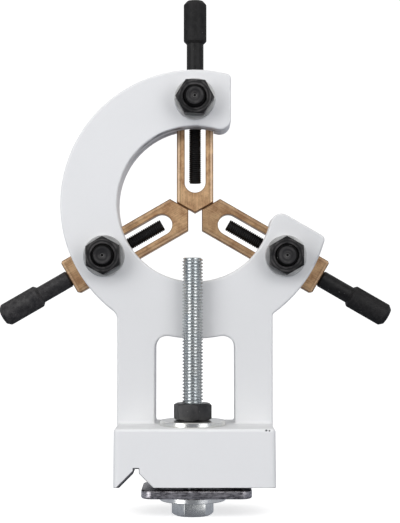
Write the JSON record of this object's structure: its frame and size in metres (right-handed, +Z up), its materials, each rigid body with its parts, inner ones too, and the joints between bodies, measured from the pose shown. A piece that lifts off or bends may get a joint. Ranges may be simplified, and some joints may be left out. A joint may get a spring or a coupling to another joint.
{
  "type": "steady rest",
  "caption": "Bench lathe steady rest: C-shaped white casting with screw-set bronze fingers, clamp nuts, V-groove foot and bolted bed clamp.",
  "frame": {"origin": "on the lathe bed, under the ring's centre, midway through the casting's thickness", "axes": "+Z up from the bed, -Y the front with the finger nuts, +X to the right of the front view; the ring's axis is along Y"},
  "size_m": [0.1534, 0.0411, 0.1987],
  "materials": {
    "casting_paint": "satin cool white paint over cast iron",
    "bronze": "milled bronze, lightly brushed",
    "black_steel": "black oxide",
    "washer_steel": "plain steel, ground",
    "zinc_steel": "bright zinc plate",
    "dark_plate": "dark burnished steel",
    "pin_steel": "ground pin steel"
  },
  "bodies": {
    "root": {"frame_casting": "casting_paint", "bed_clamp_washer_upper": "zinc_steel", "clamp_stud_top": "black_steel", "clamp_stud_left": "black_steel", "clamp_stud_right": "black_steel"},
    "finger_top": {"finger_top": "bronze", "retaining_pin_top": "pin_steel"},
    "screw_top": {"adjusting_screw_top": "black_steel"},
    "washer_top": {"clamp_washer_top": "washer_steel"},
    "nut_top": {"clamp_nut_top": "black_steel"},
    "finger_left": {"finger_left": "bronze", "retaining_pin_left": "pin_steel"},
    "screw_left": {"adjusting_screw_left": "black_steel"},
    "washer_left": {"clamp_washer_left": "washer_steel"},
    "nut_left": {"clamp_nut_left": "black_steel"},
    "finger_right": {"finger_right": "bronze", "retaining_pin_right": "pin_steel"},
    "screw_right": {"adjusting_screw_right": "black_steel"},
    "washer_right": {"clamp_washer_right": "washer_steel"},
    "nut_right": {"clamp_nut_right": "black_steel"},
    "bed_bolt": {"bed_clamp_bolt": "zinc_steel", "bed_clamp_washer_lower": "zinc_steel"},
    "bed_plate": {"bed_clamp_plate": "dark_plate"},
    "bed_nut": {"bed_clamp_nut": "black_steel"}
  },
  "joints": [
    {"name": "finger_top_slide", "type": "slide", "parent": "root", "child": "finger_top", "axis": [0, 0, 1], "range_m": [0, 0.027]},
    {"name": "screw_top_turn", "type": "hinge", "parent": "finger_top", "child": "screw_top", "pos_m": [0, 0.005, 0.1055], "axis": [0, 0, 1], "range_deg": [0, 12150]},
    {"name": "washer_top_slide", "type": "slide", "parent": "root", "child": "washer_top", "axis": [0, -1, 0], "range_m": [0, 0.005]},
    {"name": "nut_top_turn", "type": "hinge", "parent": "washer_top", "child": "nut_top", "pos_m": [0, -0.0085, 0.1456], "axis": [0, -1, 0], "range_deg": [0, 1440]},
    {"name": "finger_left_slide", "type": "slide", "parent": "root", "child": "finger_left", "axis": [-0.866, 0, -0.5], "range_m": [0, 0.021]},
    {"name": "screw_left_turn", "type": "hinge", "parent": "finger_left", "child": "screw_left", "pos_m": [0, 0.005, 0.1055], "axis": [-0.866, 0, -0.5], "range_deg": [0, 9450]},
    {"name": "washer_left_slide", "type": "slide", "parent": "root", "child": "washer_left", "axis": [0, -1, 0], "range_m": [0, 0.005]},
    {"name": "nut_left_turn", "type": "hinge", "parent": "washer_left", "child": "nut_left", "pos_m": [-0.03473, -0.0085, 0.08545], "axis": [0, -1, 0], "range_deg": [0, 1440]},
    {"name": "finger_right_slide", "type": "slide", "parent": "root", "child": "finger_right", "axis": [0.866, 0, -0.5], "range_m": [0, 0.021]},
    {"name": "screw_right_turn", "type": "hinge", "parent": "finger_right", "child": "screw_right", "pos_m": [0, 0.005, 0.1055], "axis": [0.866, 0, -0.5], "range_deg": [0, 9450]},
    {"name": "washer_right_slide", "type": "slide", "parent": "root", "child": "washer_right", "axis": [0, -1, 0], "range_m": [0, 0.005]},
    {"name": "nut_right_turn", "type": "hinge", "parent": "washer_right", "child": "nut_right", "pos_m": [0.03473, -0.0085, 0.08545], "axis": [0, -1, 0], "range_deg": [0, 1440]},
    {"name": "bed_bolt_slide", "type": "slide", "parent": "root", "child": "bed_bolt", "axis": [0, 0, -1], "range_m": [-0.0012, 0.052]},
    {"name": "bed_nut_turn", "type": "hinge", "parent": "root", "child": "bed_nut", "pos_m": [-0.0008, -0.013, 0.0234], "axis": [0, 0, 1], "range_deg": [-346, 14976]},
    {"name": "bed_plate_swivel", "type": "hinge", "parent": "bed_bolt", "child": "bed_plate", "pos_m": [-0.0008, -0.013, -0.0029], "axis": [0, 0, 1], "continuous": true}
  ],
  "couplings": [
    {"joint": "screw_top_turn", "follows": "finger_top_slide", "rad_per_m": 7854},
    {"joint": "nut_top_turn", "follows": "washer_top_slide", "rad_per_m": 5026.5},
    {"joint": "screw_left_turn", "follows": "finger_left_slide", "rad_per_m": 7854},
    {"joint": "nut_left_turn", "follows": "washer_left_slide", "rad_per_m": 5026.5},
    {"joint": "screw_right_turn", "follows": "finger_right_slide", "rad_per_m": 7854},
    {"joint": "nut_right_turn", "follows": "washer_right_slide", "rad_per_m": 5026.5},
    {"joint": "bed_nut_turn", "follows": "bed_bolt_slide", "rad_per_m": 5026.5}
  ]
}
